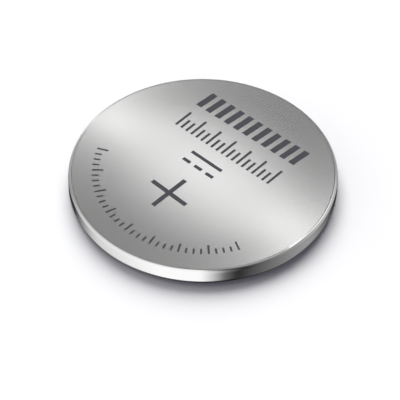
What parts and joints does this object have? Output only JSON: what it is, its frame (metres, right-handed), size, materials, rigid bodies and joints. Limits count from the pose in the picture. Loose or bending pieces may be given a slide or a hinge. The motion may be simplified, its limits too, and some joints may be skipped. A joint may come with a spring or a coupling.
{
  "type": "lithium coin cell",
  "caption": "Flat round lithium coin cell: crimped steel can, sealing gasket and cap, with the electrodes, separator and collector grid inside.",
  "frame": {"origin": "centre of the negative contact's outer face, which the cell lies on", "axes": "+Z is the cell's axis, up through the flat positive face; +X is to the right and +Y away as the picture shows the cell"},
  "size_m": [0.02, 0.02, 0.0016],
  "materials": {
    "can_steel": "nickel-plated stainless steel, turned satin on the flat face and bright on the wall",
    "gasket_plastic": "moulded polypropylene, dull",
    "cap_steel": "nickel-plated stainless steel, satin",
    "lithium_metal": "soft rolled metal, dull silver",
    "separator_felt": "non-woven plastic felt",
    "cathode_mix": "pressed black powder, matt",
    "grid_steel": "expanded steel sheet, dull",
    "print_ink": "dark grey ink, printed thin on the positive face, dull"
  },
  "bodies": {
    "root": {"positive_can": "can_steel", "sealing_gasket": "gasket_plastic", "negative_cap": "cap_steel", "lithium_anode": "lithium_metal", "separator": "separator_felt", "cathode_pellet": "cathode_mix", "cathode_collector": "grid_steel"}
  },
  "joints": []
}
